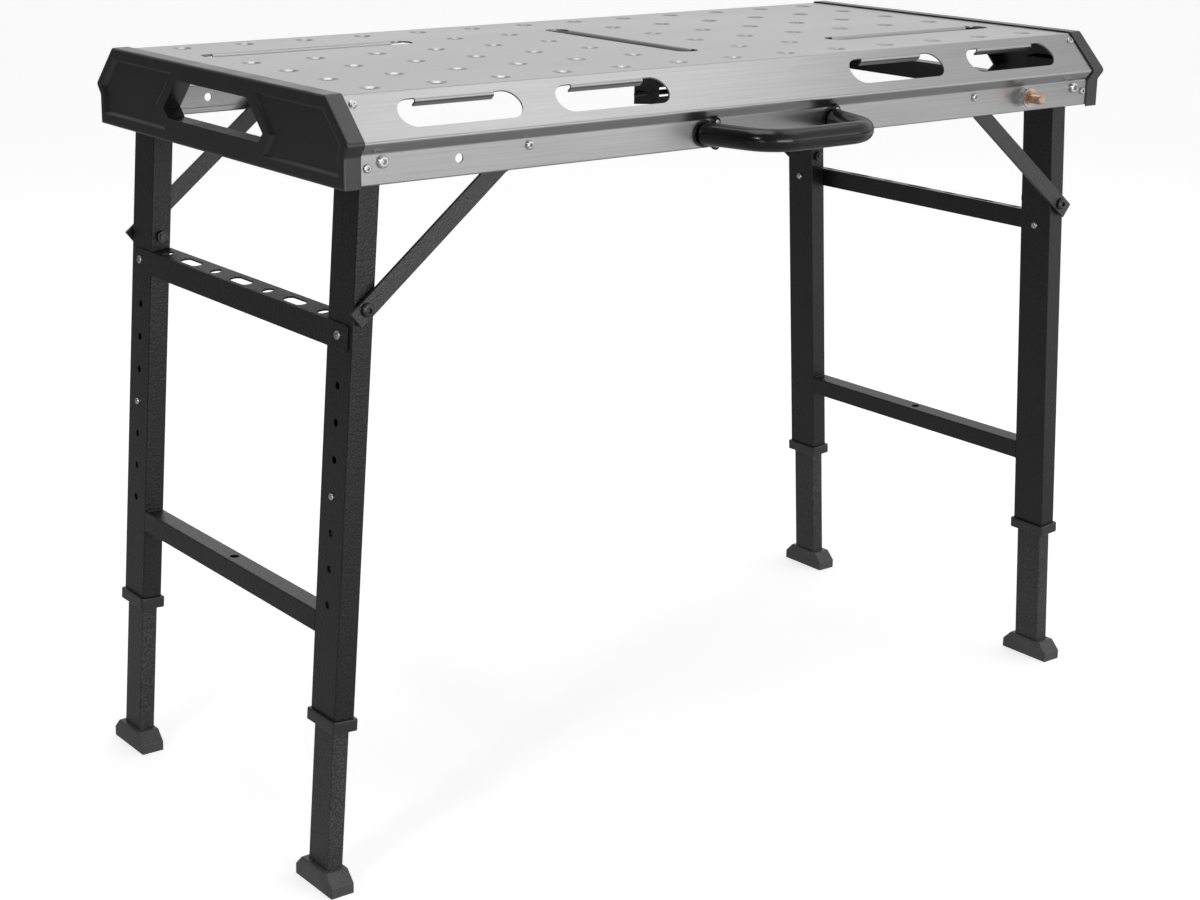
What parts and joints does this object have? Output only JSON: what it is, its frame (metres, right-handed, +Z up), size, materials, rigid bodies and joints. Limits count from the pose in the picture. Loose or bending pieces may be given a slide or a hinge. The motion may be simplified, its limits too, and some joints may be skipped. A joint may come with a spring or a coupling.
{
  "type": "welding table",
  "caption": "Portable steel welding table with a perforated, slotted top, plastic end caps, a carry handle and folding, height-adjustable leg frames.",
  "frame": {"origin": "on the floor, under the middle of the whole table's box, with the legs in their middle hole", "axes": "+X along the table's length, +Y away from the carry handle, +Z up"},
  "size_m": [1.1958, 0.6605, 0.878],
  "materials": {
    "sheet_steel": "fine-ground sheet steel",
    "rib_steel": "dark zinc",
    "cap_plastic": "fine moulded texture",
    "handle_plastic": "glossy",
    "black_coat": "satin powder coat",
    "lower_coat": "satin powder coat",
    "foot_rubber": "moulded",
    "zinc": "zinc plated",
    "chrome_screw": "bright plated",
    "black_screw": "black oxide",
    "spring_steel": "spring strip",
    "copper": "copper plated"
  },
  "bodies": {
    "table_top": {"brace_hook_nuts": "zinc", "brace_hook_screws": "chrome_screw", "carry_handle": "handle_plastic", "earth_nuts": "zinc", "earth_stud": "copper", "earth_washers": "zinc", "end_cap_left": "cap_plastic", "end_cap_right": "cap_plastic", "end_cap_screws": "zinc", "handle_flanges": "handle_plastic", "handle_screws": "zinc", "leg_clip_pins": "black_screw", "leg_clips_left": "rib_steel", "leg_clips_right": "rib_steel", "leg_pivot_bolts": "chrome_screw", "leg_pivot_nuts": "zinc", "leg_pivot_spacers": "cap_plastic", "top_sheet": "sheet_steel"},
    "leg_frame_left": {"brace_bolts_left": "black_screw", "brace_nuts_left": "black_screw", "brace_washers_left": "black_screw", "leg_collars_left": "cap_plastic", "lower_crossbar_left": "black_coat", "rail_nuts_left": "zinc", "rail_screws_left": "zinc", "tool_rail_left": "black_coat", "upper_leg_back_left": "black_coat", "upper_leg_front_left": "black_coat"},
    "leg_frame_right": {"brace_bolts_right": "black_screw", "brace_nuts_right": "black_screw", "brace_washers_right": "black_screw", "leg_collars_right": "cap_plastic", "lower_crossbar_right": "black_coat", "rail_nuts_right": "zinc", "rail_screws_right": "zinc", "tool_rail_right": "black_coat", "upper_leg_back_right": "black_coat", "upper_leg_front_right": "black_coat"},
    "braces_left": {"brace_back_left": "black_coat", "brace_front_left": "black_coat"},
    "braces_right": {"brace_back_right": "black_coat", "brace_front_right": "black_coat"},
    "leg_extension_back_left": {"lower_leg_back_left": "lower_coat", "leg_foot_back_left": "foot_rubber", "button_spring_back_left": "spring_steel"},
    "leg_extension_front_left": {"lower_leg_front_left": "lower_coat", "leg_foot_front_left": "foot_rubber", "button_spring_front_left": "spring_steel"},
    "leg_extension_back_right": {"lower_leg_back_right": "lower_coat", "leg_foot_back_right": "foot_rubber", "button_spring_back_right": "spring_steel"},
    "leg_extension_front_right": {"lower_leg_front_right": "lower_coat", "leg_foot_front_right": "foot_rubber", "button_spring_front_right": "spring_steel"},
    "button_back_left": {"snap_button_back_left": "chrome_screw"},
    "button_front_left": {"snap_button_front_left": "chrome_screw"},
    "button_back_right": {"snap_button_back_right": "chrome_screw"},
    "button_front_right": {"snap_button_front_right": "chrome_screw"}
  },
  "joints": [
    {"name": "left_leg_fold", "type": "hinge", "parent": "table_top", "child": "leg_frame_left", "pos_m": [-0.5277, 0.04644, 0.811], "axis": [0, -1, 0], "range_deg": [0, 96.2]},
    {"name": "left_brace_fold", "type": "hinge", "parent": "leg_frame_left", "child": "braces_left", "pos_m": [-0.53839, 0.04644, 0.65537], "axis": [0, -1, 0], "range_deg": [-132.75, 0]},
    {"name": "right_leg_fold", "type": "hinge", "parent": "table_top", "child": "leg_frame_right", "pos_m": [0.5277, 0.04644, 0.811], "axis": [0, 1, 0], "range_deg": [0, 91.4]},
    {"name": "right_brace_fold", "type": "hinge", "parent": "leg_frame_right", "child": "braces_right", "pos_m": [0.53839, 0.04644, 0.65537], "axis": [0, 1, 0], "range_deg": [-132.75, 0]},
    {"name": "back_left_leg_height", "type": "slide", "parent": "leg_frame_left", "child": "leg_extension_back_left", "axis": [0.0685, 0, 0.9976], "range_m": [-0.1215, 0.1215]},
    {"name": "front_left_leg_height", "type": "slide", "parent": "leg_frame_left", "child": "leg_extension_front_left", "axis": [0.0685, 0, 0.9976], "range_m": [-0.1215, 0.1215]},
    {"name": "back_right_leg_height", "type": "slide", "parent": "leg_frame_right", "child": "leg_extension_back_right", "axis": [-0.0685, 0, 0.9976], "range_m": [-0.1215, 0.1215]},
    {"name": "front_right_leg_height", "type": "slide", "parent": "leg_frame_right", "child": "leg_extension_front_right", "axis": [-0.0685, 0, 0.9976], "range_m": [-0.1215, 0.1215]},
    {"name": "back_left_button_press", "type": "slide", "parent": "leg_extension_back_left", "child": "button_back_left", "axis": [0.9976, 0, -0.0685], "range_m": [0, 0.0052], "stiffness_N_per_m": 1500, "springref_m": -0.002, "deforming": ["button_spring_back_left"]},
    {"name": "front_left_button_press", "type": "slide", "parent": "leg_extension_front_left", "child": "button_front_left", "axis": [0.9976, 0, -0.0685], "range_m": [0, 0.0052], "stiffness_N_per_m": 1500, "springref_m": -0.002, "deforming": ["button_spring_front_left"]},
    {"name": "back_right_button_press", "type": "slide", "parent": "leg_extension_back_right", "child": "button_back_right", "axis": [-0.9976, 0, -0.0685], "range_m": [0, 0.0052], "stiffness_N_per_m": 1500, "springref_m": -0.002, "deforming": ["button_spring_back_right"]},
    {"name": "front_right_button_press", "type": "slide", "parent": "leg_extension_front_right", "child": "button_front_right", "axis": [-0.9976, 0, -0.0685], "range_m": [0, 0.0052], "stiffness_N_per_m": 1500, "springref_m": -0.002, "deforming": ["button_spring_front_right"]}
  ],
  "couplings": [
    {"joint": "left_brace_fold", "follows": "left_leg_fold", "ratio": -1.3789},
    {"joint": "right_brace_fold", "follows": "right_leg_fold", "ratio": -1.4513}
  ]
}
